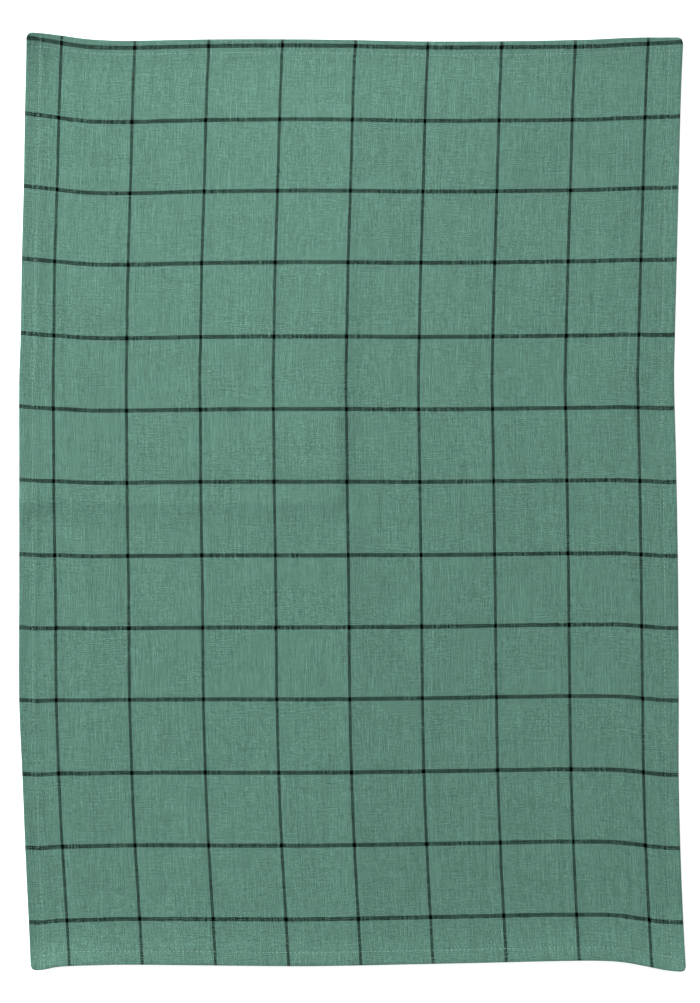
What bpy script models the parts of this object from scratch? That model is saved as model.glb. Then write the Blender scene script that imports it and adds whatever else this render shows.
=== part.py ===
"""Tea towel lying flat, face up: one cut of cloth, hemmed on its four sides.

The cloth is cut as a flat rectangle. Its edges are turned under all round, as a hem is sewn. The hemmed
rectangle is then laid down: every point moves to where the photographed towel has it, with its uneven
edges, two creases from folding in quarters, and slightly curled corners. The sheet gets its thickness
last, so the towel is a single solid whose hem is part of its cloth.

Frame: metres, +Y up the long side, +X across it, +Z out of the face. The origin is the middle of the box
that the towel fills, at the height of the surface that it lies on.
"""

import math
from collections import namedtuple

import bmesh
import bpy

MM = 0.001

# The hemmed towel before it is laid down, in millimetres.
WIDTH = 498.0
LENGTH = 700.0
CORNER_RADIUS = 4.0

# The cloth, in millimetres. The sheet is drawn thicker than a woven towel's 0.5 mm.
THICKNESS = 1.0
HEM_DEPTH = 11.5
HEM_SLIT = 0.3  # left open between the face layer and the turned hem
HEM_RAMP = 10.0  # over this width the face comes down from the hem to the surface below
MITRE_RADIUS = 1.2  # least corner radius of the hem's inner edge
HEM_MARGIN = 1.5  # flat width of the face past the hem's inner edge

# How finely the sheet is divided, in millimetres.
CELL = 25.0  # longest side of a cell
FOLD_STEPS = 4  # steps round the turned edge

CLOTH_GREEN = (97, 139, 123)  # mean colour of the cloth, 8-bit sRGB
CLOTH_ROUGHNESS = 0.9

# Where the towel's edges lie, in millimetres from a point near its middle.
# The long edges wander to the sides. A row for each height.
LongEdges = namedtuple("LongEdges", "up left right")
LONG_EDGES = (
    LongEdges(355.0, -244.5, 252.5),
    LongEdges(303.5, -246.0, 250.5),
    LongEdges(243.0, -247.0, 249.0),
    LongEdges(182.5, -248.5, 247.5),
    LongEdges(122.0, -249.5, 246.0),
    LongEdges(91.5, -250.5, 245.5),
    LongEdges(31.0, -250.5, 247.0),
    LongEdges(-60.0, -250.5, 248.5),
    LongEdges(-150.0, -250.5, 249.0),
    LongEdges(-211.0, -248.0, 249.0),
    LongEdges(-272.0, -245.5, 250.5),
    LongEdges(-332.0, -242.5, 253.0),
    LongEdges(-356.0, -241.0, 254.0),
)
# The short edges wander up and down. A row for each place along them.
ShortEdges = namedtuple("ShortEdges", "along bottom top")
SHORT_EDGES = (
    ShortEdges(-246.0, -355.0, 354.5),
    ShortEdges(-234.0, -354.5, 354.0),
    ShortEdges(-220.0, -352.0, 352.5),
    ShortEdges(-196.0, -351.0, 349.5),
    ShortEdges(-170.0, -350.5, 348.5),
    ShortEdges(-106.0, -351.0, 349.5),
    ShortEdges(-38.0, -351.5, 349.5),
    ShortEdges(0.0, -351.0, 349.0),
    ShortEdges(50.0, -350.0, 348.0),
    ShortEdges(100.0, -349.0, 348.0),
    ShortEdges(145.0, -348.0, 348.5),
    ShortEdges(185.0, -347.5, 349.5),
    ShortEdges(205.0, -348.5, 350.5),
    ShortEdges(220.0, -351.0, 351.0),
    ShortEdges(238.0, -354.5, 351.0),
    ShortEdges(254.0, -356.0, 351.0),
)

# Creases left by folding the towel in quarters. Each is a soft ridge along the towel ("up") or across it
# ("across"), at a distance from its middle, between two points of its run. All are in millimetres.
Crease = namedtuple("Crease", "runs offset start end height half_width fade")
CREASES = (
    Crease("across", -2.5, -252.0, 2.0, 1.1, 21.0, 20.0),
    Crease("across", -2.5, -20.0, 252.0, 0.4, 21.0, 40.0),
    Crease("up", -1.0, -352.0, 130.0, 1.0, 21.0, 30.0),
)

# Corners that curl off the surface: which corner, how high it lifts and how far in the curl reaches.
Curl = namedtuple("Curl", "side end lift reach")
CURLS = (
    Curl(-1, 1, 2.6, 46.0),
    Curl(1, 1, 1.2, 40.0),
    Curl(-1, -1, 2.8, 50.0),
    Curl(1, -1, 2.2, 60.0),
)

HALF_WIDTH = WIDTH / 2
HALF_LENGTH = LENGTH / 2
MID = THICKNESS / 2  # height of the sheet's middle where it rests on the surface
HEM_TOP = MID + THICKNESS + HEM_SLIT  # height of the face layer's middle over the hem
FOLD_RADIUS = (HEM_TOP - MID) / 2
FOLD_CENTRE = MID + FOLD_RADIUS
FLAT_EDGE = MID + FOLD_RADIUS  # depth inside the edge where the turn starts
HEM_CREST = HEM_DEPTH + HEM_MARGIN
HEM_FOOT = HEM_CREST + HEM_RAMP


def smooth_step(share):
    """0 to 1 with level ends."""
    share = min(max(share, 0.0), 1.0)
    return share * share * (3.0 - 2.0 * share)


def slope_at(places, values, index):
    """Slope of a smooth curve through the values, at one of them."""
    before = max(index - 1, 0)
    after = min(index + 1, len(places) - 1)
    return (values[after] - values[before]) / (places[after] - places[before])


def smooth_read(places, values, place):
    """Read a smooth curve through the values at any place. The places run upwards."""
    place = min(max(place, places[0]), places[-1])
    index = 0
    while index < len(places) - 2 and place > places[index + 1]:
        index += 1
    span = places[index + 1] - places[index]
    share = (place - places[index]) / span
    start = slope_at(places, values, index) * span
    end = slope_at(places, values, index + 1) * span
    rise = values[index + 1] - values[index]
    return values[index] + share * start + share**2 * (3 * rise - 2 * start - end) + share**3 * (start + end - 2 * rise)


class Outline:
    """The four edges of the towel as it lies."""

    def __init__(self):
        rows = sorted(LONG_EDGES)
        self.ups = [row.up for row in rows]
        self.lefts = [row.left for row in rows]
        self.rights = [row.right for row in rows]
        self.alongs = [row.along for row in SHORT_EDGES]
        self.bottoms = [row.bottom for row in SHORT_EDGES]
        self.tops = [row.top for row in SHORT_EDGES]

    def place(self, x, y):
        """Where a point of the hemmed rectangle lies, between the two long and the two short edges."""
        across = x / WIDTH + 0.5
        up = y / LENGTH + 0.5
        for _ in range(5):
            left = smooth_read(self.ups, self.lefts, y)
            right = smooth_read(self.ups, self.rights, y)
            x = left + across * (right - left)
            bottom = smooth_read(self.alongs, self.bottoms, x)
            top = smooth_read(self.alongs, self.tops, x)
            y = bottom + up * (top - bottom)
        return x, y


def crease_height(crease, x, y):
    """Height of one crease's ridge at a point of the hemmed rectangle."""
    along, aside = (x, y) if crease.runs == "across" else (y, x)
    nearness = 1.0 - abs(aside - crease.offset) / crease.half_width
    if nearness <= 0.0:
        return 0.0
    held = smooth_step((along - crease.start) / crease.fade) * smooth_step((crease.end - along) / crease.fade)
    return crease.height * held * nearness**2


def curl_height(curl, x, y):
    """Height of one corner's curl at a point of the hemmed rectangle."""
    away = math.hypot(curl.side * HALF_WIDTH - x, curl.end * HALF_LENGTH - y)
    nearness = 1.0 - away / curl.reach
    if nearness <= 0.0:
        return 0.0
    return curl.lift * nearness**2


def lift(x, y):
    """How far the towel stands off the surface at a point of the hemmed rectangle."""
    creased = max(crease_height(crease, x, y) for crease in CREASES)
    curled = max(curl_height(curl, x, y) for curl in CURLS)
    return creased + curled


def face_height(x, y):
    """Height of the face layer's middle: up on the turned hem, and down on the surface inside it."""
    inside = min(HALF_WIDTH - abs(x), HALF_LENGTH - abs(y))
    return HEM_TOP + (MID - HEM_TOP) * smooth_step((inside - HEM_CREST) / HEM_RAMP)


def divisions(half, creases):
    """Places of the grid's lines across one direction, closer at the hem, the corners and the creases."""
    edge = [half - FLAT_EDGE, half - (FLAT_EDGE + CORNER_RADIUS) / 2, half - CORNER_RADIUS]
    edge += [half - HEM_CREST, half - HEM_CREST - HEM_RAMP / 2, half - HEM_FOOT]
    lines = edge + [-line for line in edge]
    for crease in creases:
        lines += [crease.offset + share * crease.half_width for share in (-1.0, -0.4, 0.0, 0.4, 1.0)]
    lines = sorted(set(lines))
    filled = [lines[0]]
    for line in lines[1:]:
        cells = math.ceil((line - filled[-1]) / CELL)
        start = filled[-1]
        filled += [start + (line - start) * cell / cells for cell in range(1, cells + 1)]
    return filled


def rounded(x, y):
    """Bring a point beside a sharp corner onto the towel's rounded corner."""
    past_x = abs(x) - (HALF_WIDTH - CORNER_RADIUS)
    past_y = abs(y) - (HALF_LENGTH - CORNER_RADIUS)
    if past_x <= 0.0 or past_y <= 0.0:
        return x, y
    shrink = max(past_x, past_y) / math.hypot(past_x, past_y)
    return (
        math.copysign(HALF_WIDTH - CORNER_RADIUS + past_x * shrink, x),
        math.copysign(HALF_LENGTH - CORNER_RADIUS + past_y * shrink, y),
    )


def ring_point(x, y, depth):
    """Point of the hem's ring at a depth inside the towel's edge, level with the sheet's edge point (x, y)."""
    radius = max(CORNER_RADIUS - depth, MITRE_RADIUS)
    corner_x = HALF_WIDTH - depth - radius
    corner_y = HALF_LENGTH - depth - radius
    past_x = abs(x) - (HALF_WIDTH - CORNER_RADIUS)
    past_y = abs(y) - (HALF_LENGTH - CORNER_RADIUS)
    if past_x > -1e-6 and past_y > -1e-6:
        reach = radius / math.hypot(past_x, past_y)
        return math.copysign(corner_x + past_x * reach, x), math.copysign(corner_y + past_y * reach, y)
    if past_x > past_y:
        return math.copysign(HALF_WIDTH - depth, x), y
    return x, math.copysign(HALF_LENGTH - depth, y)


def cut_cloth(mesh):
    """The face layer: a flat grid as large as the hemmed towel, with rounded corners."""
    columns = divisions(HALF_WIDTH, [crease for crease in CREASES if crease.runs == "up"])
    rows = divisions(HALF_LENGTH, [crease for crease in CREASES if crease.runs == "across"][:1])
    bmesh.ops.create_grid(mesh, x_segments=len(columns) - 1, y_segments=len(rows) - 1, size=0.5)
    for vert in mesh.verts:
        column = round((vert.co.x + 0.5) * (len(columns) - 1))
        row = round((vert.co.y + 0.5) * (len(rows) - 1))
        x, y = rounded(columns[column], rows[row])
        vert.co = (x, y, face_height(x, y))


def turn_hem(mesh):
    """Turn the cloth's edge under, round the fold and back along the underside."""
    section = []
    for step in range(1, FOLD_STEPS + 1):
        angle = math.pi * (0.5 - step / FOLD_STEPS)
        section.append((FLAT_EDGE - FOLD_RADIUS * math.cos(angle), FOLD_CENTRE + FOLD_RADIUS * math.sin(angle)))
    section.append((CORNER_RADIUS, MID))
    section.append((HEM_DEPTH, MID))
    edges = [edge for edge in mesh.edges if edge.is_boundary]
    start = {vert: tuple(vert.co) for edge in edges for vert in edge.verts}
    for depth, height in section:
        grown = bmesh.ops.extrude_edge_only(mesh, edges=edges)["geom"]
        new_edges = [item for item in grown if isinstance(item, bmesh.types.BMEdge) and item.is_boundary]
        new_verts = {vert for edge in new_edges for vert in edge.verts}
        moved = {}
        for vert in new_verts:
            below = next(edge.other_vert(vert) for edge in vert.link_edges if edge.other_vert(vert) in start)
            x, y, _ = start[below]
            moved[vert] = (x, y, 0.0)
            vert.co = (*ring_point(x, y, depth), height)
        start = moved
        edges = new_edges


def lay_down(mesh):
    """Move every point of the hemmed rectangle to where the towel has it, and centre the towel."""
    outline = Outline()
    for vert in mesh.verts:
        x, y, height = vert.co
        vert.co = (*outline.place(x, y), height + lift(x, y))
    middle = [(min(values) + max(values)) / 2 for values in zip(*((v.co.x, v.co.y) for v in mesh.verts))]
    bmesh.ops.translate(mesh, verts=mesh.verts, vec=(-middle[0], -middle[1], 0.0))
    bmesh.ops.scale(mesh, verts=mesh.verts, vec=(MM, MM, MM))


def linear(level):
    """An 8-bit sRGB level as linear light."""
    share = level / 255
    return share / 12.92 if share <= 0.04045 else ((share + 0.055) / 1.055) ** 2.4


def cloth_material():
    """Dull woven cotton."""
    material = bpy.data.materials.new("woven_cotton")
    material.use_nodes = True
    shader = material.node_tree.nodes["Principled BSDF"]
    shader.inputs["Base Color"].default_value = (*(linear(level) for level in CLOTH_GREEN), 1.0)
    shader.inputs["Roughness"].default_value = CLOTH_ROUGHNESS
    shader.inputs["Metallic"].default_value = 0.0
    return material


def towel_cloth():
    """The towel: cut, hemmed, laid down and given its thickness."""
    mesh = bmesh.new()
    cut_cloth(mesh)
    turn_hem(mesh)
    lay_down(mesh)
    bmesh.ops.recalc_face_normals(mesh, faces=mesh.faces)
    data = bpy.data.meshes.new("towel_cloth")
    mesh.to_mesh(data)
    mesh.free()
    data.shade_smooth()
    data.materials.append(cloth_material())
    towel = bpy.data.objects.new("towel_cloth", data)
    bpy.context.scene.collection.objects.link(towel)
    thicken = towel.modifiers.new("cloth thickness", "SOLIDIFY")
    thicken.thickness = THICKNESS * MM
    thicken.offset = 0.0
    thicken.use_even_offset = True
    return towel


def main():
    for item in list(bpy.data.objects):
        bpy.data.objects.remove(item, do_unlink=True)
    towel_cloth()


main()
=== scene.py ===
"""Tea towel laid flat and face up: its woven cloth, its sewn hem, and the plain studio that it is seen in.

The cloth is cut flat, hemmed on its four sides and laid down, in the same steps as the CAD solid but at the
cloth's own thickness, with a hem that is turned twice. Every point of the mesh remembers where it was in the
flat cut. The weave and its stripes are drawn there, so they follow the cloth round the hem and through every
drift of the threads. The stitching is arrayed as straight rows of thread and then laid along the hem.
"""

import math
from collections import namedtuple

import bmesh
import bpy
import numpy as np
from bpy.props import FloatProperty, FloatVectorProperty, IntProperty, PointerProperty
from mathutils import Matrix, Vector


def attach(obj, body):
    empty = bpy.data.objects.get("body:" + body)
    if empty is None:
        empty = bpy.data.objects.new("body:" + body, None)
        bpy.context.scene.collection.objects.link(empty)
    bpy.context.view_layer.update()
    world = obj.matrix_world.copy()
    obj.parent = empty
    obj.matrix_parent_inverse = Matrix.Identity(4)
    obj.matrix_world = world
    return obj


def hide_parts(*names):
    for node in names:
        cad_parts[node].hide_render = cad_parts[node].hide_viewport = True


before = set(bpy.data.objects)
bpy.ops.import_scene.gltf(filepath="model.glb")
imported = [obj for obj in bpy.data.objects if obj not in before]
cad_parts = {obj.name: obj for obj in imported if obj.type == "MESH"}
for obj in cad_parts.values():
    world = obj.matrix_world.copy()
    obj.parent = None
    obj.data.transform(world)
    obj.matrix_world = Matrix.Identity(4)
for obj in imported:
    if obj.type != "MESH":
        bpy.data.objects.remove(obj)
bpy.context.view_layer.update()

bl_info = {
    "name": "Tea towel",
    "version": (1, 0, 0),
    "blender": (4, 5, 0),
    "location": "View3D > Sidebar > Tea towel",
    "description": "A hemmed check tea towel laid flat, with its stitching and a plain studio",
    "category": "Add Mesh",
}

MM = 0.001  # lengths below are millimetres, except the stage's, which are metres
CAD_NODE = "towel_cloth"
CAD_BODY = "root"
CUT_MAP = "OFBake"  # the cloth's own map: where each point was in the flat cut
MAP_SIDE = 750.0  # width and height of the cloth that fills that map

# The two sets of threads. Real ones are taken as about 0.55 mm apart, which is too fine to show. Both sets
# are drawn as coarse as they need to be for the weave to show in the render.
WARP_REPEAT = 55.5  # from one stripe along the towel to the next
WARP_THREADS = 73  # threads in a repeat
WEFT_REPEAT = 55.1  # from one stripe across the towel to the next
WEFT_THREADS = 70
WARP_STRIPE = 3  # dark threads in a stripe along the towel
WEFT_STRIPE = 4
WEFT_START = 15.7  # height of the stripe across the towel that is nearest above its middle

# Where the towel's edges lie, from a point near its middle, as in the CAD source.
# The long edges wander to the sides. A row for each height.
LongEdges = namedtuple("LongEdges", "up left right")
LONG_EDGES = (
    LongEdges(-356.0, -241.0, 254.0),
    LongEdges(-332.0, -242.5, 253.0),
    LongEdges(-272.0, -245.5, 250.5),
    LongEdges(-211.0, -248.0, 249.0),
    LongEdges(-150.0, -250.5, 249.0),
    LongEdges(-60.0, -250.5, 248.5),
    LongEdges(31.0, -250.5, 247.0),
    LongEdges(91.5, -250.5, 245.5),
    LongEdges(122.0, -249.5, 246.0),
    LongEdges(182.5, -248.5, 247.5),
    LongEdges(243.0, -247.0, 249.0),
    LongEdges(303.5, -246.0, 250.5),
    LongEdges(355.0, -244.5, 252.5),
)
# The short edges wander up and down. A row for each place along them.
ShortEdges = namedtuple("ShortEdges", "along bottom top")
SHORT_EDGES = (
    ShortEdges(-246.0, -355.0, 354.5),
    ShortEdges(-234.0, -354.5, 354.0),
    ShortEdges(-220.0, -352.0, 352.5),
    ShortEdges(-196.0, -351.0, 349.5),
    ShortEdges(-170.0, -350.5, 348.5),
    ShortEdges(-106.0, -351.0, 349.5),
    ShortEdges(-38.0, -351.5, 349.5),
    ShortEdges(0.0, -351.0, 349.0),
    ShortEdges(50.0, -350.0, 348.0),
    ShortEdges(100.0, -349.0, 348.0),
    ShortEdges(145.0, -348.0, 348.5),
    ShortEdges(185.0, -347.5, 349.5),
    ShortEdges(205.0, -348.5, 350.5),
    ShortEdges(220.0, -351.0, 351.0),
    ShortEdges(238.0, -354.5, 351.0),
    ShortEdges(254.0, -356.0, 351.0),
)

# How the threads drift from square in the hemmed towel. The stripes along it shift sideways and spread.
WarpDrift = namedtuple("WarpDrift", "up shift repeat")
WARP_DRIFT = (
    WarpDrift(-350.0, 2.1, 55.35),
    WarpDrift(-300.0, 1.6, 55.4),
    WarpDrift(-225.0, 0.8, 55.5),
    WarpDrift(-150.0, 0.5, 55.35),
    WarpDrift(-75.0, 0.0, 55.35),
    WarpDrift(0.0, -0.6, 55.5),
    WarpDrift(75.0, -0.6, 55.55),
    WarpDrift(155.0, -1.0, 55.7),
    WarpDrift(250.0, -0.5, 55.7),
    WarpDrift(350.0, 0.2, 55.65),
)
# Stripes along it stand to the right of their even spacing, or to the left where the shift is below zero.
WarpUneven = namedtuple("WarpUneven", "across shift")
WARP_UNEVEN = (
    WarpUneven(-220.0, 0.0),
    WarpUneven(-165.0, 0.0),
    WarpUneven(-110.0, 0.4),
    WarpUneven(-55.0, 0.5),
    WarpUneven(0.0, 0.15),
    WarpUneven(55.0, -0.4),
    WarpUneven(110.0, 0.0),
    WarpUneven(165.0, 0.1),
    WarpUneven(222.0, -0.35),
)
# Each stripe across the towel: its height, and how far its right end stands above the left one's level.
WeftStripe = namedtuple("WeftStripe", "up tilt")
WEFT_STRIPES = (
    WeftStripe(-315.1, -0.1),
    WeftStripe(-259.5, -0.2),
    WeftStripe(-204.5, -0.3),
    WeftStripe(-149.0, 0.0),
    WeftStripe(-94.7, 0.0),
    WeftStripe(-40.3, -0.3),
    WeftStripe(15.3, -0.4),
    WeftStripe(70.2, 0.0),
    WeftStripe(125.1, 0.1),
    WeftStripe(181.2, 0.6),
    WeftStripe(235.3, 0.6),
    WeftStripe(289.1, 0.2),
    WeftStripe(345.0, -0.2),
)
# All of them bow alike: the hem holds both ends up.
WeftBow = namedtuple("WeftBow", "along rise")
WEFT_BOW = (
    WeftBow(-249.0, 0.8),
    WeftBow(-240.0, 0.1),
    WeftBow(-216.0, -1.1),
    WeftBow(-170.0, -0.7),
    WeftBow(-110.0, -0.3),
    WeftBow(-35.0, 0.2),
    WeftBow(80.0, 0.3),
    WeftBow(150.0, 0.1),
    WeftBow(192.0, -0.3),
    WeftBow(220.0, 0.2),
    WeftBow(242.0, 1.3),
    WeftBow(249.0, 1.6),
)

# Creases left by folding the towel in quarters: soft ridges along it ("up") or across it ("across"). Each has
# its distance from the middle, the two ends of its run, the length over which it fades in, and its height. On
# the side with the lower coordinate it falls by the share "below_quick" within the reach "below", and slowly
# from there, evenly. On the other side "above" and "above_quick" say the same. The ends of a run may lie past
# the towel's own, so that the ridge is still there in its hems.
Crease = namedtuple("Crease", "runs offset start end fade height below below_quick above above_quick")
CREASES = (
    Crease("across", -0.5, -252.0, 1.0, 10.0, 0.95, 22.0, 0.95, 9.0, 0.22),
    Crease("across", -0.5, -70.0, 1.0, 10.0, 0.35, 22.0, 0.95, 9.0, 0.22),
    Crease("across", -0.5, -10.0, 252.0, 60.0, 0.2, 22.0, 0.9, 9.0, 0.3),
    Crease("up", -1.0, -400.0, 380.0, 110.0, 3.8, 12.0, 0.03, 12.0, 0.05),
    Crease("up", -1.0, -4.0, 190.0, 26.0, 0.3, 14.0, 0.4, 11.0, 1.0),
)
SLOW_REACH = 250.0  # how far a crease's slow slopes reach
CREST_RADIUS = 1.5  # how round a crease's crest is
# Edges that rise off the surface a little, because the hem is thick and stiff: side, lift and reach.
EdgeLift = namedtuple("EdgeLift", "side lift reach")
EDGE_LIFTS = (
    EdgeLift("left", 0.35, 12.0),
    EdgeLift("left", 0.5, 6.0),
    EdgeLift("right", 0.15, 9.0),
    EdgeLift("right", 0.3, 5.0),
    EdgeLift("bottom", 2.9, 54.0),
    EdgeLift("bottom", 0.9, 24.0),
    EdgeLift("top", 0.9, 24.0),
    EdgeLift("top", 0.3, 6.0),
)
# Corners that curl off the surface: which corner, how high it lifts and how far in the curl reaches each way.
Curl = namedtuple("Curl", "side end lift across up")
CURLS = (
    Curl(-1, 1, 3.4, 46.0, 46.0),
    Curl(1, 1, 0.8, 36.0, 36.0),
    Curl(-1, -1, 1.6, 90.0, 24.0),
    Curl(1, -1, 1.6, 46.0, 36.0),
)
# Places where the cloth stands a little off the surface: middle, height, and reach each way.
Swell = namedtuple("Swell", "x y height across up")
SWELLS = (
    Swell(-243.0, 0.0, 0.95, 26.0, 17.0),
    Swell(-26.0, -192.0, 0.35, 34.0, 14.0),
    Swell(36.0, 229.0, 0.4, 26.0, 48.0),
    Swell(150.0, 161.0, 0.45, 26.0, 48.0),
    Swell(196.0, 84.0, 0.5, 26.0, 62.0),
    Swell(66.0, -96.0, 0.45, 26.0, 90.0),
    Swell(-140.0, 36.0, 0.3, 40.0, 44.0),
    Swell(92.0, -258.0, 0.5, 35.0, 35.0),
)

# How the face layer comes down from the hem to the surface: a part of the step at once, the rest slowly.
HEM_MARGIN = 0.5  # flat width of the face past the hem's inner edge
QUICK_FALL = 0.35  # share of the step that the face would take at once
QUICK_MIDDLE = 0.55  # how much of that share it takes midway across the towel
QUICK_SLANT = 0.45  # how much more of it at the left edge, and less at the right one
SLOW_FALL = 110.0  # width over which it takes the rest
# The hem's section.
SEAM_GROOVE = 1.4  # half the width of the groove along the stitches
INNER_PINCH = 0.1  # how much of the stitches' pinch the tucked layer takes
FOLD_STEPS = 6  # steps round a turn of the hem
MITRE_RADIUS = 1.2  # least corner radius of the hem's inner rings
PAST_CORNER = 1.5  # from the corners' radius in to the tucked layer's last ring but one
RAW_EDGE = 2.6  # where the cut edge ends inside the hem
LEVEL_TOLERANCE = 0.01  # heights closer than this are one layer's
# The stitches, on the face and on the back.
STITCH_SHOWS = 0.42  # share of a stitch's length that is seen above the cloth
STITCH_ARCH = 0.1  # how far its middle stands above its ends
STITCH_SINK = 0.02  # how far it is pulled into the cloth
STITCH_TILT = 0.07  # how far it leans from the line of the seam, as a slope
STITCH_MARGIN = 2.0  # length of each side without stitches, both ends together


def linear_colour(code):
    """An sRGB hex colour as linear light."""
    levels = [int(code[start : start + 2], 16) / 255 for start in (1, 3, 5)]
    return [level / 12.92 if level <= 0.04045 else ((level + 0.055) / 1.055) ** 2.4 for level in levels]


class TowelSizes(bpy.types.PropertyGroup):
    """Sizes of the hemmed towel, of its cloth and of its stitching."""

    width: FloatProperty(
        name="Width",
        description="Width of the hemmed towel before it is laid down",
        default=498 * MM,
        unit="LENGTH",
    )
    length: FloatProperty(
        name="Length",
        description="Length of the hemmed towel before it is laid down",
        default=700 * MM,
        unit="LENGTH",
    )
    cut_width: FloatProperty(
        name="Cut width",
        description="Width of the flat cut, with what the hems take",
        default=538 * MM,
        unit="LENGTH",
    )
    cut_length: FloatProperty(
        name="Cut length",
        description="Length of the flat cut, with what the hems take",
        default=740 * MM,
        unit="LENGTH",
    )
    thickness: FloatProperty(
        name="Cloth thickness",
        description="Thickness of one layer of the cloth",
        default=0.35 * MM,
        unit="LENGTH",
    )
    layer_gap: FloatProperty(
        name="Layer gap", description="Air between two layers of the hem", default=0.1 * MM, unit="LENGTH"
    )
    hem_depth: FloatProperty(
        name="Hem depth", description="How far in the turned hem reaches", default=11.5 * MM, unit="LENGTH"
    )
    hem_ramp: FloatProperty(
        name="Hem ramp",
        description="Width over which the face comes down beside the hem",
        default=6 * MM,
        unit="LENGTH",
    )
    corner_radius: FloatProperty(
        name="Corner radius", description="Radius of the four corners", default=4 * MM, unit="LENGTH"
    )
    cell: FloatProperty(
        name="Cell",
        description="Longest side of a cell of the cloth's mesh",
        default=4.0 * MM,
        unit="LENGTH",
    )
    seam_inset: FloatProperty(
        name="Seam inset",
        description="Distance of the stitching from the towel's edge",
        default=10.3 * MM,
        unit="LENGTH",
    )
    seam_pinch: FloatProperty(
        name="Seam pinch",
        description="How far the stitching draws each outer layer of the hem in",
        default=0.09 * MM,
        unit="LENGTH",
    )
    stitch_length: FloatProperty(
        name="Stitch length", description="From one stitch to the next", default=3.4 * MM, unit="LENGTH"
    )
    thread_width: FloatProperty(
        name="Thread width", description="Thickness of the sewing thread", default=0.4 * MM, unit="LENGTH"
    )


class TowelColours(bpy.types.PropertyGroup):
    """Colours of the towel's yarns and thread."""

    green_yarn: FloatVectorProperty(
        name="Green yarn",
        description="Colour of the cloth's ground",
        subtype="COLOR",
        size=3,
        default=linear_colour("#5E8576"),
    )
    dark_yarn: FloatVectorProperty(
        name="Dark yarn",
        description="Colour of the stripes",
        subtype="COLOR",
        size=3,
        default=linear_colour("#050A08"),
    )
    thread: FloatVectorProperty(
        name="Sewing thread",
        description="Colour of the hem's stitching",
        subtype="COLOR",
        size=3,
        default=linear_colour("#92B2A5"),
    )


class StageSettings(bpy.types.PropertyGroup):
    """The studio's floor, lights and camera."""

    floor: FloatVectorProperty(
        name="Floor",
        description="Colour of the floor",
        subtype="COLOR",
        size=3,
        default=linear_colour("#F2F2F2"),
    )
    floor_glow: FloatProperty(
        name="Floor glow", description="Strength of the light that comes through the floor", default=0.75
    )
    key_light: FloatProperty(
        name="Key light", description="Power of the low lamp at the upper left", default=625.0, unit="POWER"
    )
    top_light: FloatProperty(
        name="Top light", description="Power of the soft lamp over the towel", default=0.18, unit="POWER"
    )
    room_light: FloatProperty(
        name="Room light", description="Strength of the even light all round", default=0.497
    )
    lens: IntProperty(name="Lens", description="Focal length of the camera, in millimetres", default=100)


def smooth_step(share):
    """0 to 1 with level ends."""
    share = np.clip(share, 0.0, 1.0)
    return share * share * (3.0 - 2.0 * share)


def smooth_read(places, values, at):
    """Read a smooth curve through the values at many places. The places run upwards."""
    places = np.asarray(places)
    values = np.asarray(values)
    at = np.clip(at, places[0], places[-1])
    index = np.clip(np.searchsorted(places, at) - 1, 0, len(places) - 2)
    before = np.maximum(np.arange(len(places)) - 1, 0)
    after = np.minimum(np.arange(len(places)) + 1, len(places) - 1)
    slopes = (values[after] - values[before]) / (places[after] - places[before])
    span = places[index + 1] - places[index]
    share = (at - places[index]) / span
    start = slopes[index] * span
    end = slopes[index + 1] * span
    rise = values[index + 1] - values[index]
    bend = 3 * rise - 2 * start - end
    twist = start + end - 2 * rise
    return values[index] + share * start + share**2 * bend + share**3 * twist


def columns_of(rows):
    """The columns of a table."""
    return [np.array(column) for column in zip(*rows)]


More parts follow.
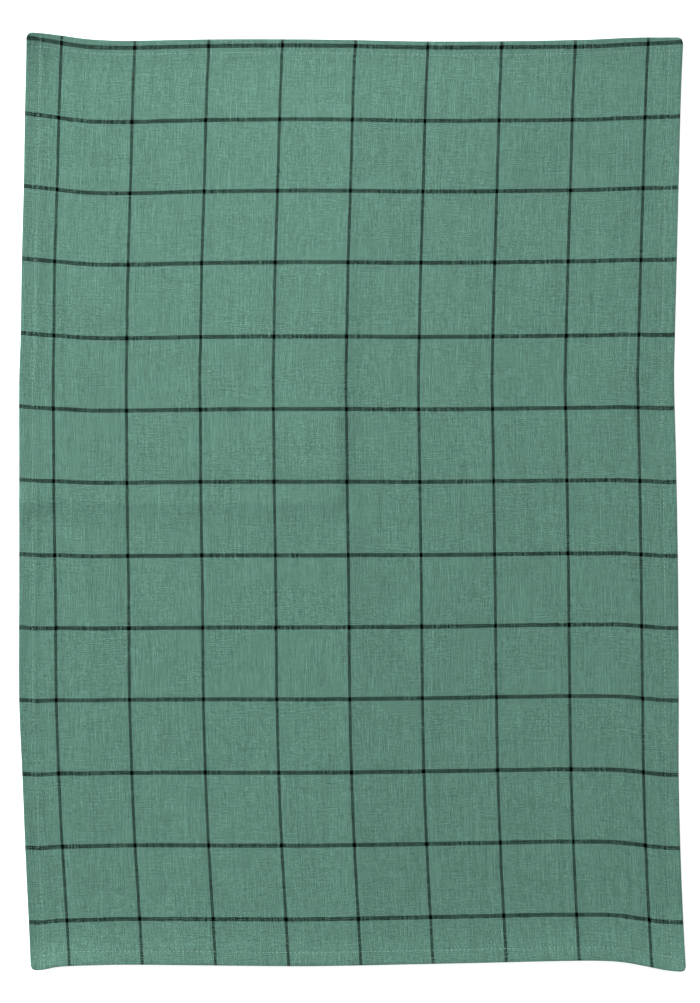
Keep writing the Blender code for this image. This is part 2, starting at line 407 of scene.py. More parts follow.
class Towel:
    """The hemmed towel in millimetres: its sizes, and where each point of it lies."""

    def __init__(self, sizes):
        self.half_width = sizes.width / MM / 2
        self.half_length = sizes.length / MM / 2
        self.width = sizes.width / MM
        self.length = sizes.length / MM
        self.thickness = sizes.thickness / MM
        self.hem_depth = sizes.hem_depth / MM
        self.hem_ramp = sizes.hem_ramp / MM
        self.corner_radius = sizes.corner_radius / MM
        self.cell = sizes.cell / MM
        self.seam_inset = sizes.seam_inset / MM
        self.seam_pinch = sizes.seam_pinch / MM
        self.stitch_length = sizes.stitch_length / MM
        self.thread_width = sizes.thread_width / MM
        layer = self.thickness + sizes.layer_gap / MM
        self.low = self.thickness / 2  # height of the middle of the lowest layer
        self.between = self.low + layer
        self.high = self.low + 2 * layer
        self.middle = self.plan_middle()

    def place(self, x, y):
        """Where points of the hemmed rectangle lie, between the two long and the two short edges."""
        ups, lefts, rights = columns_of(LONG_EDGES)
        alongs, bottoms, tops = columns_of(SHORT_EDGES)
        across = x / self.width + 0.5
        up = y / self.length + 0.5
        for _ in range(5):
            left = smooth_read(ups, lefts, y)
            x = left + across * (smooth_read(ups, rights, y) - left)
            bottom = smooth_read(alongs, bottoms, x)
            y = bottom + up * (smooth_read(alongs, tops, x) - bottom)
        return x, y

    def plan_middle(self):
        """Middle of the laid towel's outline."""
        along = np.linspace(-1.0, 1.0, 801)
        sides = [(along * 0 + side, along) for side in (-1.0, 1.0)]
        sides += [(along, along * 0 + end) for end in (-1.0, 1.0)]
        laid = [self.place(x * self.half_width, y * self.half_length) for x, y in sides]
        xs = np.concatenate([x for x, _ in laid])
        ys = np.concatenate([y for _, y in laid])
        return (xs.min() + xs.max()) / 2, (ys.min() + ys.max()) / 2

    def lift(self, x, y):
        """How far the towel stands off the surface."""
        ridges = sum(self.crease_height(crease, x, y) for crease in CREASES)
        curls = sum(self.curl_height(curl, x, y) for curl in CURLS)
        swells = sum(self.swell_height(swell, x, y) for swell in SWELLS)
        return ridges + curls + swells + sum(self.edge_height(edge, x, y) for edge in EDGE_LIFTS)

    def crease_height(self, crease, x, y):
        """Height of one crease's ridge."""
        along, aside = (x, y) if crease.runs == "across" else (y, x)
        away = aside - crease.offset
        far = np.hypot(away, CREST_RADIUS) - CREST_RADIUS
        reach = np.where(away < 0, crease.below, crease.above)
        quick = np.where(away < 0, crease.below_quick, crease.above_quick)
        steep = quick * np.clip(1.0 - far / reach, 0.0, 1.0) ** 2
        slow = (1.0 - quick) * np.clip(1.0 - far / SLOW_REACH, 0.0, 1.0)
        begun = smooth_step((along - crease.start) / crease.fade)
        to_come = smooth_step((crease.end - along) / crease.fade)
        return crease.height * (begun * to_come) * (steep + slow)

    def edge_height(self, edge, x, y):
        """Height to which one edge rises."""
        insets = {
            "left": x + self.half_width,
            "right": self.half_width - x,
            "bottom": y + self.half_length,
            "top": self.half_length - y,
        }
        return edge.lift * np.clip(1.0 - insets[edge.side] / edge.reach, 0.0, 1.0) ** 2

    def curl_height(self, curl, x, y):
        """Height of one corner's curl."""
        in_x = (curl.side * self.half_width - x) / curl.across
        in_y = (curl.end * self.half_length - y) / curl.up
        return curl.lift * np.clip(1.0 - np.hypot(in_x, in_y), 0.0, 1.0) ** 2

    def swell_height(self, swell, x, y):
        """Height of one soft swelling."""
        away = np.hypot((x - swell.x) / swell.across, (y - swell.y) / swell.up)
        return swell.height * smooth_step(1.0 - away)

    def face_height(self, x, y):
        """Height of the middle of the face layer: up on the hem, drawn in at the seam, low inside it."""
        inset_x = self.half_width - np.abs(x)
        inset_y = self.half_length - np.abs(y)
        inside = np.minimum(inset_x, inset_y)
        beyond = inside - self.hem_depth - HEM_MARGIN
        quick = QUICK_FALL * (QUICK_MIDDLE - QUICK_SLANT * x / self.half_width)
        fallen = quick * smooth_step(beyond / self.hem_ramp)
        fallen = fallen + (1.0 - quick) * smooth_step(beyond / SLOW_FALL)
        height = self.high + (self.low - self.high) * fallen
        seam = np.maximum(self.seam_nearness(inset_x), self.seam_nearness(inset_y))
        return height - self.seam_pinch * seam

    def seam_nearness(self, inset):
        """1 at the line of stitches and 0 away from it."""
        return smooth_step(1.0 - np.abs(inset - self.seam_inset) / SEAM_GROOVE)

    def flat_place(self, x, y):
        """Where a point of the hemmed rectangle was in the flat cut, whose threads don't drift."""
        ups, shifts, repeats = columns_of(WARP_DRIFT)
        alongs, unevens = columns_of(WARP_UNEVEN)
        even_x = x - smooth_read(ups, shifts, y) - smooth_read(alongs, unevens, x)
        warp_x = even_x * WARP_REPEAT / smooth_read(ups, repeats, y)
        heights, tilts = columns_of(WEFT_STRIPES)
        alongs, rises = columns_of(WEFT_BOW)
        counts = np.round((heights - WEFT_START) / WEFT_REPEAT)
        moves = WEFT_START + counts * WEFT_REPEAT - heights
        weft_y = y - smooth_read(alongs, rises, x) - smooth_read(heights, tilts, y) * x / self.half_width
        return warp_x, weft_y + smooth_read(heights, moves, y)

    def lay_down(self, points):
        """Lay points (x, y, height) of the hemmed rectangle down as the towel lies, in metres."""
        x, y = self.place(points[:, 0], points[:, 1])
        height = points[:, 2] + self.lift(points[:, 0], points[:, 1])
        return np.column_stack([x - self.middle[0], y - self.middle[1], height]) * MM


def divisions(half, towel, creases):
    """Places of the grid's lines across one direction, closer at the fold, the seam and the creases."""
    first = towel.low + (towel.high - towel.low) / 2
    seam = [towel.seam_inset + share * SEAM_GROOVE for share in (-1.0, -0.5, 0.0, 0.5, 1.0)]
    foot = towel.hem_depth + HEM_MARGIN
    ramp = [foot + share * towel.hem_ramp for share in (0.0, 0.25, 0.5, 0.75, 1.0)]
    insets = [first, towel.corner_radius] + seam + ramp
    lines = [half - inset for inset in insets] + [inset - half for inset in insets]
    for crease in creases:
        reaches = (-crease.below, -crease.below / 2, -4.0, -2.0, -0.8, 0.8, 2.0, 4.0, crease.above)
        lines += [crease.offset + reach for reach in reaches]
    lines = sorted(set(lines))
    filled = [lines[0]]
    for line in lines[1:]:
        cells = math.ceil((line - filled[-1]) / towel.cell)
        start = filled[-1]
        filled += [start + (line - start) * cell / cells for cell in range(1, cells + 1)]
    return filled


def rounded(x, y, towel):
    """Bring a point beside a sharp corner onto the towel's rounded corner."""
    past_x = abs(x) - (towel.half_width - towel.corner_radius)
    past_y = abs(y) - (towel.half_length - towel.corner_radius)
    if past_x <= 0.0 or past_y <= 0.0:
        return x, y
    shrink = max(past_x, past_y) / math.hypot(past_x, past_y)
    return (
        math.copysign(towel.half_width - towel.corner_radius + past_x * shrink, x),
        math.copysign(towel.half_length - towel.corner_radius + past_y * shrink, y),
    )


def cut_cloth(mesh, flat, towel):
    """The face layer: a flat grid as large as the hemmed towel, with rounded corners."""
    along = [crease for crease in CREASES if crease.runs == "up"]
    across = [crease for crease in CREASES if crease.runs == "across"]
    columns = divisions(towel.half_width, towel, along)
    # The creases across the towel lie on one line, so the first of them places the grid's lines for all.
    rows = divisions(towel.half_length, towel, across[:1])
    bmesh.ops.create_grid(mesh, x_segments=len(columns) - 1, y_segments=len(rows) - 1, size=0.5)
    for vert in mesh.verts:
        column = round((vert.co.x + 0.5) * (len(columns) - 1))
        row = round((vert.co.y + 0.5) * (len(rows) - 1))
        x, y = rounded(columns[column], rows[row], towel)
        vert.co = (x, y, 0.0)
        vert[flat] = (x, y, 0.0)
    points = np.array([vert.co for vert in mesh.verts])
    for vert, height in zip(mesh.verts, towel.face_height(points[:, 0], points[:, 1])):
        vert.co.z = height


def hem_section(towel):
    """The twice-turned hem in section, from the face to the cut edge, as (depth, height) pairs."""
    radius = (towel.high - towel.low) / 2
    turn = towel.low + radius
    section = []
    for step in range(1, FOLD_STEPS + 1):
        angle = math.pi * (0.5 - step / FOLD_STEPS)
        section.append((turn - radius * math.cos(angle), turn + radius * math.sin(angle)))
    small = (towel.between - towel.low) / 2
    inner = towel.hem_depth - towel.low - small
    seam = [towel.seam_inset + share * SEAM_GROOVE for share in (-1.0, -0.5, 0.0, 0.5)]
    section += [(depth, towel.low) for depth in [towel.corner_radius] + seam]
    for step in range(FOLD_STEPS + 1):
        angle = math.pi * (step / FOLD_STEPS - 0.5)
        section.append((inner + small * math.cos(angle), towel.low + small + small * math.sin(angle)))
    last = [towel.corner_radius + PAST_CORNER, RAW_EDGE]
    section += [(depth, towel.between) for depth in seam[::-1] + last]
    tucked = towel.between - LEVEL_TOLERANCE
    drawn = []
    for depth, height in section:
        near = float(towel.seam_nearness(np.array(depth)))
        share = 1.0 if height < tucked else INNER_PINCH
        pinch = share * towel.seam_pinch * near if depth > towel.corner_radius else 0.0
        drawn.append((depth, height + pinch))
    return drawn


def ring_direction(x, y, towel):
    """Which way is out of the towel at a point of its edge, and whether that is round a corner."""
    past_x = abs(x) - (towel.half_width - towel.corner_radius)
    past_y = abs(y) - (towel.half_length - towel.corner_radius)
    if past_x > -1e-6 and past_y > -1e-6:
        reach = math.hypot(past_x, past_y)
        return math.copysign(past_x / reach, x), math.copysign(past_y / reach, y), True
    if past_x > past_y:
        return math.copysign(1.0, x), 0.0, False
    return 0.0, math.copysign(1.0, y), False


def ring_point(x, y, depth, towel):
    """Point of the hem's ring at a depth inside the towel's edge, beside the edge point (x, y)."""
    out_x, out_y, corner = ring_direction(x, y, towel)
    if corner:
        radius = max(towel.corner_radius - depth, MITRE_RADIUS)
        return (
            math.copysign(towel.half_width - depth - radius, x) + out_x * radius,
            math.copysign(towel.half_length - depth - radius, y) + out_y * radius,
        )
    if out_x:
        return math.copysign(towel.half_width - depth, x), y
    return x, math.copysign(towel.half_length - depth, y)


def turn_hem(mesh, flat, towel):
    """Turn the cloth's edge under twice."""
    edges = [edge for edge in mesh.edges if edge.is_boundary]
    start = {vert: tuple(vert.co) for edge in edges for vert in edge.verts}
    run = 0.0
    last = ((towel.high + towel.low) / 2, towel.high)
    for depth, height in hem_section(towel):
        run += math.dist((depth, height), last)
        last = (depth, height)
        grown = bmesh.ops.extrude_edge_only(mesh, edges=edges)["geom"]
        edges = [item for item in grown if isinstance(item, bmesh.types.BMEdge) and item.is_boundary]
        moved = {}
        for vert in {vert for edge in edges for vert in edge.verts}:
            below = next(edge.other_vert(vert) for edge in vert.link_edges if edge.other_vert(vert) in start)
            x, y, _ = start[below]
            out_x, out_y, _ = ring_direction(x, y, towel)
            moved[vert] = (x, y, 0.0)
            vert.co = (*ring_point(x, y, depth, towel), height)
            vert[flat] = (x + out_x * run, y + out_y * run, 0.0)
        start = moved


def map_cut(mesh, flat, towel):
    """Write the cloth's own map: each point's place in the flat cut."""
    cut = mesh.loops.layers.uv.new(CUT_MAP)
    points = np.array([vert[flat] for vert in mesh.verts])
    x, y = towel.flat_place(points[:, 0], points[:, 1])
    places = np.column_stack([x, y]) / MAP_SIDE + 0.5
    mesh.verts.index_update()
    for face in mesh.faces:
        for loop in face.loops:
            loop[cut].uv = places[loop.vert.index]


def add_node(tree, kind, inputs=None, **settings):
    """Add a node, set its settings, and fill its inputs with values or with other nodes' outputs."""
    node = tree.nodes.new(kind)
    for name, value in settings.items():
        setattr(node, name, value)
    for socket, value in (inputs or {}).items():
        if isinstance(value, bpy.types.NodeSocket):
            tree.links.new(value, node.inputs[socket])
        else:
            node.inputs[socket].default_value = value
    return node


MATH = "ShaderNodeMath"
VECTOR = "ShaderNodeVectorMath"
NOISE = "ShaderNodeTexNoise"
RANGE = "ShaderNodeMapRange"
MIX = "ShaderNodeMix"

THREAD_WANDER = 0.5  # how far threads stray from straight, in millimetres
UNDER_SHADE = 0.2  # how much light reaches the thread that passes below
THREAD_STEP = 0.37  # how much a thread's slubs differ from those of its neighbour's neighbour
WANDER_SCALE = 0.12  # how often they stray, as a noise scale per millimetre
THREAD_EDGE = 0.15  # how soft a thread's edge is, as a share of half its spacing
SLUB_SWING = 0.25  # how far a thread's slubs go from their mean before they count in full
STRIPE_SWING = 0.12  # the same, where a thread crosses a dark one
COVER_SWING = 0.2  # how much more or less of its spacing a thread covers at a full slub
YIELD_LEAST = 0.4  # share of its "yields" that a thread yields at its widest
YIELD_MOST = 1.6  # and at its narrowest
CROSSING_STEP = 0.37  # how quickly crossings change from one to the next, as a noise scale
CROSSING_TONE = 0.46  # how much lighter or darker a single crossing is
CROSSING_SWING = 0.25  # how far its noise goes from the mean before that counts in full
# Paler and darker bands of threads: their width and length in millimetres, and how much they differ.
Band = namedtuple("Band", "across along tone seed")
BANDS = (
    Band(4.5, 110.0, 0.06, 1.3),
    Band(1.3, 40.0, 0.07, 2.6),
    Band(60.0, 1.6, 0.035, 6.9),
    Band(30.0, 45.0, 0.02, 4.4),
)
BAND_NOISE = (0.25, 0.75)  # the bands' noise stays mostly between these
FIBRE_SHINE = 0.02  # cotton has next to no shine
COTTON_ROUGHNESS = (0.98, 0.88)  # in the gaps, and on a thread
CROWN_EDGE = 0.2  # height at a crossing's corners, as a share of its middle's
WEAVE_RELIEF = 0.16  # height of a thread above its neighbour, in millimetres
BUMP_STRENGTH = 0.35

# Each set's threads: the share of their spacing that they cover, how much less of it they cover on average
# where they cross a dark thread, the length of a thicker or paler stretch of thread, how much paler or darker
# it is, and how bright the set is as a whole. That brightness is partly the sets' own tone and partly painted
# sheen: the warp is painted lighter and the weft darker, as the low lamp at the upper left would light them.
YarnLook = namedtuple("YarnLook", "cover yields slub tone bright seed")
# The warp's 1.1 and the weft's 0.92 are partly painted sheen from the low lamp, partly the sets' own tone.
WARP_LOOK = YarnLook(0.72, 0.36, 14.0, 0.5, 1.1, 3.1)
WEFT_LOOK = YarnLook(0.78, 0.31, 8.0, 0.42, 0.92, 8.7)

Threads = namedtuple("Threads", "along index away dark")


def thread_set(tree, across, along, repeat, threads, striped, start):
    """One set of threads: which thread a point is on, how far from its middle, and whether it is dark."""
    spacing = repeat / threads
    count = add_node(
        tree,
        MATH,
        {0: across, 1: 1.0 / spacing, 2: striped / 2 - start / spacing},
        operation="MULTIPLY_ADD",
    ).outputs[0]
    index = add_node(tree, MATH, {0: count}, operation="FLOOR").outputs[0]
    share = add_node(tree, MATH, {0: count}, operation="FRACT").outputs[0]
    aside = add_node(tree, RANGE, {"Value": share, "To Min": -1.0, "To Max": 1.0}).outputs[0]
    away = add_node(tree, MATH, {0: aside}, operation="ABSOLUTE").outputs[0]
    turn = add_node(tree, MATH, {0: index, 1: float(threads)}, operation="FLOORED_MODULO").outputs[0]
    dark = add_node(tree, MATH, {0: turn, 1: striped - 0.5}, operation="LESS_THAN").outputs[0]
    return Threads(along, index, away, dark)


def thread_look(tree, threads, crossing, look):
    """How much of a thread shows where it lies on top, and how light it is there."""
    row = add_node(tree, MATH, {0: threads.index, 1: THREAD_STEP}, operation="MULTIPLY").outputs[0]
    run = add_node(tree, MATH, {0: threads.along, 1: 1.0 / look.slub}, operation="MULTIPLY").outputs[0]
    spot = add_node(tree, "ShaderNodeCombineXYZ", {"X": row, "Y": run, "Z": look.seed}).outputs[0]
    grain = add_node(tree, NOISE, {"Vector": spot, "Scale": 1.0, "Detail": 3.0, "Roughness": 0.7}).outputs[0]
    odd = add_node(tree, MATH, {0: threads.index, 1: 2.0}, operation="FLOORED_MODULO").outputs[0]
    sign = add_node(tree, MATH, {0: odd, 1: -2.0, 2: 1.0}, operation="MULTIPLY_ADD").outputs[0]
    centred = add_node(tree, MATH, {0: grain, 1: 0.5}, operation="SUBTRACT").outputs[0]
    slub = add_node(tree, MATH, {0: centred, 1: sign}, operation="MULTIPLY").outputs[0]
    # The third range is how light a thread is: its slubs, and its set's brightness with the painted sheen in
    # it.
    ranges = (
        (SLUB_SWING, look.cover - COVER_SWING, look.cover + COVER_SWING),
        (STRIPE_SWING, -YIELD_MOST * look.yields, -YIELD_LEAST * look.yields),
        (SLUB_SWING, look.bright - look.tone, look.bright + look.tone),
    )
    width, less, tone = [
        add_node(
            tree, RANGE, {"Value": slub, "From Min": -swing, "From Max": swing, "To Min": low, "To Max": high}
        ).outputs[0]
        for swing, low, high in ranges
    ]
    held = add_node(tree, MATH, {0: crossing.dark, 1: less, 2: width}, operation="MULTIPLY_ADD").outputs[0]
    outer = add_node(tree, MATH, {0: held, 1: THREAD_EDGE}, operation="ADD").outputs[0]
    seen = add_node(
        tree,
        RANGE,
        {"Value": threads.away, "From Min": held, "From Max": outer, "To Min": 1.0, "To Max": 0.0},
    ).outputs[0]
    return seen, tone


def band_tone(tree, x, y, band):
    """How light the cloth is in paler and darker bands of threads."""
    spot = add_node(
        tree,
        "ShaderNodeCombineXYZ",
        {
            "X": add_node(tree, MATH, {0: x, 1: 1.0 / band.across}, operation="MULTIPLY").outputs[0],
            "Y": add_node(tree, MATH, {0: y, 1: 1.0 / band.along}, operation="MULTIPLY").outputs[0],
            "Z": band.seed,
        },
    ).outputs[0]
    grain = add_node(tree, NOISE, {"Vector": spot, "Scale": 1.0, "Detail": 2.0, "Roughness": 0.6}).outputs[0]
    (least, most), low, high = BAND_NOISE, 1.0 - band.tone, 1.0 + band.tone
    return add_node(
        tree, RANGE, {"Value": grain, "From Min": least, "From Max": most, "To Min": low, "To Max": high}
    ).outputs[0]


def cotton_material(colours):
    """Yarn-dyed plain-weave cotton. The eye sees dull threads that pass over and under each other one by one,
    slightly uneven in width and tone, with shaded gaps between them, and dark threads in narrow stripes."""
    material = bpy.data.materials.new("yarn_dyed_plain_weave_cotton")
    material.use_nodes = True
    tree = material.node_tree
    shader = tree.nodes["Principled BSDF"]
    cut = add_node(tree, "ShaderNodeUVMap", uv_map=CUT_MAP).outputs[0]
    spot = add_node(
        tree,
        VECTOR,
        {0: cut, 1: (MAP_SIDE, MAP_SIDE, 0.0), 2: (-MAP_SIDE / 2, -MAP_SIDE / 2, 0.0)},
        operation="MULTIPLY_ADD",
    ).outputs[0]
    drift = add_node(tree, NOISE, {"Vector": spot, "Scale": WANDER_SCALE, "Detail": 2.0}).outputs["Color"]
    stray = add_node(
        tree, VECTOR, {0: drift, 1: (THREAD_WANDER, THREAD_WANDER, 0.0), 2: spot}, operation="MULTIPLY_ADD"
    ).outputs[0]
    place = add_node(tree, "ShaderNodeSeparateXYZ", {0: stray})
    x, y = place.outputs["X"], place.outputs["Y"]
    warp = thread_set(tree, x, y, WARP_REPEAT, WARP_THREADS, WARP_STRIPE, THREAD_WANDER / 2)
    weft = thread_set(tree, y, x, WEFT_REPEAT, WEFT_THREADS, WEFT_STRIPE, WEFT_START + THREAD_WANDER / 2)
    both = add_node(tree, MATH, {0: warp.index, 1: weft.index}, operation="ADD").outputs[0]
    over = add_node(tree, MATH, {0: both, 1: 2.0}, operation="FLOORED_MODULO").outputs[0]
    cell = add_node(tree, "ShaderNodeCombineXYZ", {"X": warp.index, "Y": weft.index}).outputs[0]
    patch = add_node(
        tree, NOISE, {"Vector": cell, "Scale": CROSSING_STEP, "Detail": 2.0, "Roughness": 0.7}
    ).outputs[0]
    sign = add_node(tree, RANGE, {"Value": over, "To Min": 1.0, "To Max": -1.0}).outputs[0]
    centred = add_node(tree, MATH, {0: patch, 1: 0.5}, operation="SUBTRACT").outputs[0]
    chance = add_node(tree, MATH, {0: centred, 1: sign}, operation="MULTIPLY").outputs[0]
    warp_seen, warp_tone = thread_look(tree, warp, weft, WARP_LOOK)
    weft_seen, weft_tone = thread_look(tree, weft, warp, WEFT_LOOK)

    yarns = []
    for threads, tone in ((warp, warp_tone), (weft, weft_tone)):
        plain = add_node(
            tree,
            MIX,
            {"Factor": threads.dark, "A": (*colours.green_yarn, 1.0), "B": (*colours.dark_yarn, 1.0)},
            data_type="RGBA",
        ).outputs[2]
        yarns.append(add_node(tree, VECTOR, {0: plain, "Scale": tone}, operation="SCALE").outputs[0])
    top = add_node(tree, MIX, {"Factor": over, "A": yarns[0], "B": yarns[1]}, data_type="RGBA").outputs[2]
    below = add_node(tree, MIX, {"Factor": over, "A": yarns[1], "B": yarns[0]}, data_type="RGBA").outputs[2]
    shaded = add_node(tree, VECTOR, {0: below, "Scale": UNDER_SHADE}, operation="SCALE").outputs[0]
    swing, low, high = CROSSING_SWING, 1.0 - CROSSING_TONE, 1.0 + CROSSING_TONE
    lone = add_node(
        tree, RANGE, {"Value": chance, "From Min": -swing, "From Max": swing, "To Min": low, "To Max": high}
    ).outputs[0]
    lit = add_node(tree, VECTOR, {0: top, "Scale": lone}, operation="SCALE").outputs[0]
    shown = add_node(tree, MIX, {"Factor": over, "A": warp_seen, "B": weft_seen}).outputs[0]
    woven = add_node(tree, MIX, {"Factor": shown, "A": shaded, "B": lit}, data_type="RGBA").outputs[2]

    tone = band_tone(tree, x, y, BANDS[0])
    for band in BANDS[1:]:
        more = band_tone(tree, x, y, band)
        tone = add_node(tree, MATH, {0: tone, 1: more}, operation="MULTIPLY").outputs[0]
    toned = add_node(tree, VECTOR, {0: woven, "Scale": tone}, operation="SCALE").outputs[0]
    tree.links.new(toned, shader.inputs["Base Color"])

    # A thread is highest in the middle of each crossing where it lies on top.
    sides = add_node(tree, MATH, {0: warp.away, 1: warp.away}, operation="MULTIPLY").outputs[0]
    ends = add_node(tree, MATH, {0: weft.away, 1: weft.away, 2: sides}, operation="MULTIPLY_ADD").outputs[0]
    crown = add_node(
        tree, RANGE, {"Value": ends, "From Min": 0.0, "From Max": 2.0, "To Min": 1.0, "To Max": CROWN_EDGE}
    ).outputs[0]
    raised = add_node(tree, MATH, {0: crown, 1: shown}, operation="MULTIPLY").outputs[0]
    bump = add_node(
        tree, "ShaderNodeBump", {"Height": raised, "Distance": WEAVE_RELIEF * MM, "Strength": BUMP_STRENGTH}
    ).outputs[0]
    tree.links.new(bump, shader.inputs["Normal"])

    gap_rough, thread_rough = COTTON_ROUGHNESS
    rough = add_node(tree, RANGE, {"Value": shown, "To Min": gap_rough, "To Max": thread_rough}).outputs[0]
    tree.links.new(rough, shader.inputs["Roughness"])
    shader.inputs["Specular IOR Level"].default_value = FIBRE_SHINE
    return material


TWIST_SCALE = 2500.0  # how fine the sewing thread's twist is, as a noise scale per metre
TWIST_NOISE = (0.3, 0.7)  # its noise stays mostly between these
TWIST_TONE = (0.8, 1.15)  # how dark and how light the twist makes the thread
TWIST_ROUGHNESS = (0.5, 0.75)  # spun thread is a little shinier than the cloth
TWIST_RELIEF = 0.05  # height of the twist, in millimetres
TWIST_BUMP = 0.5
TOOTH_SCALE = 900.0  # how fine the floor board's tooth is, as a noise scale per metre
TOOTH_TONE = (0.99, 1.01)
BOARD_ROUGHNESS = 0.95


def thread_material(colours):
    """Spun sewing thread. The eye sees a fine, slightly shiny yarn with a tight twist."""
    material = bpy.data.materials.new("spun_sewing_thread")
    material.use_nodes = True
    tree = material.node_tree
    shader = tree.nodes["Principled BSDF"]
    place = add_node(tree, "ShaderNodeTexCoord").outputs["Object"]
    grain = add_node(tree, NOISE, {"Vector": place, "Scale": TWIST_SCALE, "Detail": 2.0}).outputs[0]
    (least, most), (low, high) = TWIST_NOISE, TWIST_TONE
    tone = add_node(
        tree, RANGE, {"Value": grain, "From Min": least, "From Max": most, "To Min": low, "To Max": high}
    ).outputs[0]
    toned = add_node(tree, VECTOR, {0: tuple(colours.thread), "Scale": tone}, operation="SCALE").outputs[0]
    tree.links.new(toned, shader.inputs["Base Color"])
    smooth, coarse = TWIST_ROUGHNESS
    rough = add_node(tree, RANGE, {"Value": grain, "To Min": smooth, "To Max": coarse}).outputs[0]
    tree.links.new(rough, shader.inputs["Roughness"])
    bump = add_node(
        tree, "ShaderNodeBump", {"Height": grain, "Distance": TWIST_RELIEF * MM, "Strength": TWIST_BUMP}
    ).outputs[0]
    tree.links.new(bump, shader.inputs["Normal"])
    return material


def floor_material(colour, glow):
    """Opal white board lit from below. The eye sees an even, shadowless white with a trace of tooth."""
    material = bpy.data.materials.new("opal_white_board")
    material.use_nodes = True
    tree = material.node_tree
    shader = tree.nodes["Principled BSDF"]
    place = add_node(tree, "ShaderNodeTexCoord").outputs["Object"]
    tooth = add_node(tree, NOISE, {"Vector": place, "Scale": TOOTH_SCALE, "Detail": 2.0}).outputs[0]
    darkest, lightest = TOOTH_TONE
    tone = add_node(tree, RANGE, {"Value": tooth, "To Min": darkest, "To Max": lightest}).outputs[0]
    toned = add_node(tree, VECTOR, {0: tuple(colour), "Scale": tone}, operation="SCALE").outputs[0]
    tree.links.new(toned, shader.inputs["Base Color"])
    tree.links.new(toned, shader.inputs["Emission Color"])
    shader.inputs["Emission Strength"].default_value = glow
    shader.inputs["Roughness"].default_value = BOARD_ROUGHNESS
    return material


def add_piece(mesh, name, material):
    """Make an object of a finished mesh, at the origin, unturned and unscaled."""
    data = bpy.data.meshes.new(name)
    mesh.to_mesh(data)
    mesh.free()
    data.shade_smooth()
    data.materials.append(material)
    piece = bpy.data.objects.new(name, data)
    bpy.context.scene.collection.objects.link(piece)
    return piece


class TOWEL_OT_cloth(bpy.types.Operator):
    """Add the woven cloth, hemmed and laid down"""

    bl_idname = "tea_towel.cloth"
    bl_label = "Towel cloth"
    bl_options = {"REGISTER", "UNDO"}

    def execute(self, context):
        sizes = context.scene.towel_sizes
        towel = Towel(sizes)
        mesh = bmesh.new()
        flat = mesh.verts.layers.float_vector.new("flat place")
        cut_cloth(mesh, flat, towel)
        turn_hem(mesh, flat, towel)
        map_cut(mesh, flat, towel)
        mesh.verts.layers.float_vector.remove(flat)
        for vert, place in zip(mesh.verts, towel.lay_down(np.array([vert.co for vert in mesh.verts]))):
            vert.co = place
        mesh.normal_update()
        bmesh.ops.recalc_face_normals(mesh, faces=mesh.faces)
        cloth = add_piece(mesh, "woven_cloth", cotton_material(context.scene.towel_colours))
        layer = cloth.modifiers.new("cloth thickness", "SOLIDIFY")
        layer.thickness = sizes.thickness
        layer.offset = 0.0
        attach(cloth, CAD_BODY)
        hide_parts(CAD_NODE)
        return {"FINISHED"}


def stitch_row(mesh, count, towel):
    """A straight row of stitches along X, each a short arched length of thread."""
    width = towel.thread_width
    made = bmesh.ops.create_uvsphere(mesh, u_segments=6, v_segments=5, radius=0.5)["verts"]
    for vert in made:
        along = vert.co.z
        vert.co = (along * towel.stitch_length * STITCH_SHOWS, vert.co.x * width, vert.co.y * width)
        vert.co.z += STITCH_ARCH * math.cos(math.pi * along) - STITCH_SINK
    for vert in made:
        vert.co.y += vert.co.x * STITCH_TILT
    parts = made + list({edge for vert in made for edge in vert.link_edges})
    parts += list({face for vert in made for face in vert.link_faces})
    bmesh.ops.spin(
        mesh,
        geom=parts,
        cent=(0.0, 0.0, 0.0),
        axis=(0.0, 0.0, 1.0),
        dvec=(towel.stitch_length, 0.0, 0.0),
        angle=0.0,
        steps=count - 1,
        use_duplicate=True,
        use_merge=False,
    )


class TOWEL_OT_stitches(bpy.types.Operator):
    """Add the hem's stitching, on the face and on the back"""

    bl_idname = "tea_towel.stitches"
    bl_label = "Hem stitching"
    bl_options = {"REGISTER", "UNDO"}

    def execute(self, context):
        towel = Towel(context.scene.towel_sizes)
        whole = bmesh.new()
        for half, inset, swap in (
            (towel.half_length, towel.half_width - towel.seam_inset, True),
            (towel.half_width, towel.half_length - towel.seam_inset, False),
        ):
            count = int((2 * half - STITCH_MARGIN) / towel.stitch_length)
            first = -(count - 1) / 2 * towel.stitch_length
            for side in (-1.0, 1.0):
                for face in (True, False):
                    row = bmesh.new()
                    stitch_row(row, count, towel)
                    points = np.array([vert.co for vert in row.verts])
                    along = points[:, 0] + first + (0.0 if face else towel.stitch_length / 2)
                    aside = points[:, 1] + side * inset
                    x, y = (aside, along) if swap else (along, aside)
                    if face:
                        height = towel.face_height(x, y) + towel.thickness / 2 + points[:, 2]
                    else:
                        height = towel.low + towel.seam_pinch - towel.thickness / 2 - points[:, 2]
                    laid = towel.lay_down(np.column_stack([x, y, height]))
                    for vert, place in zip(row.verts, laid):
                        vert.co = place
                    row.normal_update()
                    bmesh.ops.recalc_face_normals(row, faces=row.faces)
                    part = bpy.data.meshes.new("row")
                    row.to_mesh(part)
                    row.free()
                    whole.from_mesh(part)
                    bpy.data.meshes.remove(part)
        stitches = add_piece(whole, "hem_stitches", thread_material(context.scene.towel_colours))
        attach(stitches, CAD_BODY)
        return {"FINISHED"}


FRAME_LENGTH = 0.7598  # length of floor, in metres, that the picture's long side takes in at the towel
CAMERA_ASIDE = (-0.0016, 0.0004)  # the picture's middle, in metres from the towel's
KEY_PLACE = (-3.64, 3.06, 1.54)  # the low lamp at the upper left
KEY_SIZE = 1.2
TOP_PLACE = (-0.02, 0.29, 0.34)  # the soft lamp over the towel's upper end
TOP_SIZE = 0.25
ROOM_TINT = (0.96, 0.98, 1.0, 1.0)  # linear colour of the even light, a little cool
FLOOR_REACH = 15.0  # how far the floor runs each way, in metres
FLOOR_DROP = 0.00015  # keeps the floor just clear of the cloth, in metres


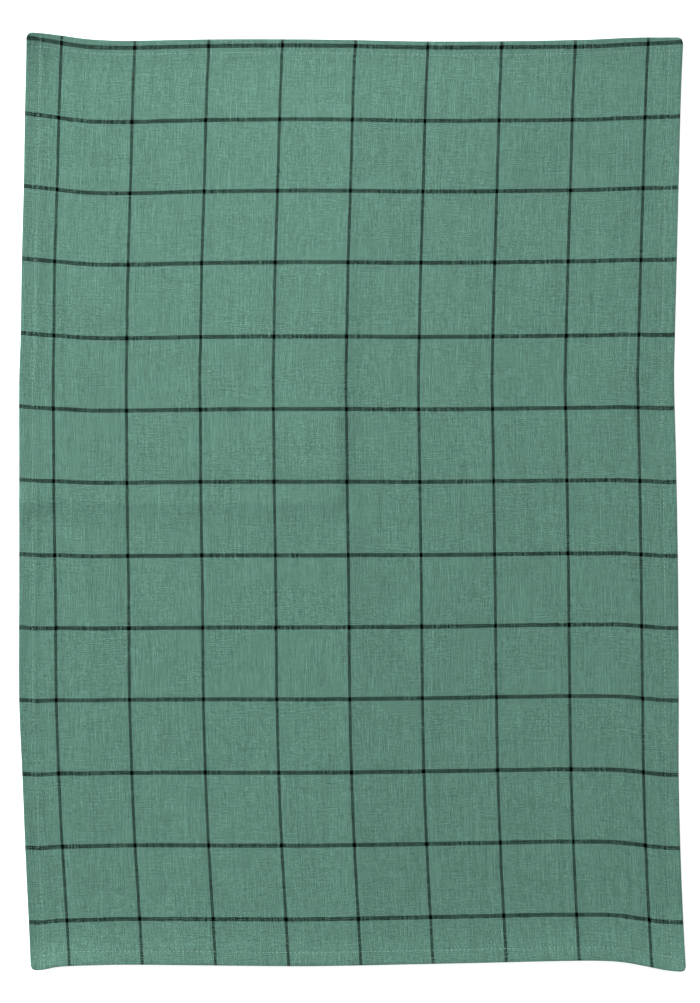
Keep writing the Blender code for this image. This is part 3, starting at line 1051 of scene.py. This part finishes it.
def add_lamp(name, power, size, place, back):
    """Add a round soft lamp that shines away from the direction behind it."""
    light = bpy.data.lights.new(name, "AREA")
    light.shape = "DISK"
    light.size = size
    light.energy = power
    lamp = bpy.data.objects.new(name, light)
    lamp.location = place
    lamp.rotation_euler = back.to_track_quat("Z", "Y").to_euler()
    bpy.context.scene.collection.objects.link(lamp)


class TOWEL_OT_stage(bpy.types.Operator):
    """Add the floor, the lights and the camera"""

    bl_idname = "tea_towel.stage"
    bl_label = "Studio"
    bl_options = {"REGISTER", "UNDO"}

    def execute(self, context):
        scene = context.scene
        settings = scene.towel_stage
        mesh = bmesh.new()
        bmesh.ops.create_grid(mesh, x_segments=1, y_segments=1, size=FLOOR_REACH)
        bmesh.ops.translate(mesh, verts=mesh.verts, vec=(0.0, 0.0, -FLOOR_DROP))
        floor = add_piece(mesh, "studio_floor", floor_material(settings.floor, settings.floor_glow))

        world = bpy.data.worlds.new("room_light")
        world.use_nodes = True
        world.node_tree.nodes["Background"].inputs["Color"].default_value = ROOM_TINT
        world.node_tree.nodes["Background"].inputs["Strength"].default_value = settings.room_light
        scene.world = world

        add_lamp("key_light", settings.key_light, KEY_SIZE, KEY_PLACE, Vector(KEY_PLACE))
        add_lamp("top_light", settings.top_light, TOP_SIZE, TOP_PLACE, Vector((0.0, 0.0, 1.0)))

        lens = bpy.data.cameras.new("camera")
        lens.lens = settings.lens
        camera = bpy.data.objects.new("camera", lens)
        camera.location = (*CAMERA_ASIDE, FRAME_LENGTH * lens.lens / lens.sensor_width)
        scene.collection.objects.link(camera)
        scene.camera = camera
        scene.view_settings.view_transform = "Standard"
        return {"FINISHED"}


class TOWEL_PT_panel(bpy.types.Panel):
    """Lists the towel's pieces and the studio"""

    bl_idname = "TOWEL_PT_panel"
    bl_label = "Tea towel"
    bl_space_type = "VIEW_3D"
    bl_region_type = "UI"
    bl_category = "Tea towel"

    def draw(self, context):
        for group in (context.scene.towel_sizes, context.scene.towel_colours, context.scene.towel_stage):
            for name in group.__annotations__:
                self.layout.prop(group, name)
        for operator in OPERATORS:
            self.layout.operator(operator.bl_idname)


OPERATORS = (TOWEL_OT_cloth, TOWEL_OT_stitches, TOWEL_OT_stage)
GROUPS = {"towel_sizes": TowelSizes, "towel_colours": TowelColours, "towel_stage": StageSettings}


def register():
    """Add the settings, the operators and the panel to Blender."""
    for name, group in GROUPS.items():
        bpy.utils.register_class(group)
        setattr(bpy.types.Scene, name, PointerProperty(type=group))
    for part in OPERATORS + (TOWEL_PT_panel,):
        bpy.utils.register_class(part)


def unregister():
    """Take them out again."""
    for part in (TOWEL_PT_panel,) + OPERATORS:
        bpy.utils.unregister_class(part)
    for name, group in GROUPS.items():
        delattr(bpy.types.Scene, name)
        bpy.utils.unregister_class(group)


def main():
    """Build the towel and its studio."""
    register()
    bpy.ops.tea_towel.cloth()
    bpy.ops.tea_towel.stitches()
    bpy.ops.tea_towel.stage()


if __name__ == "__main__":
    main()
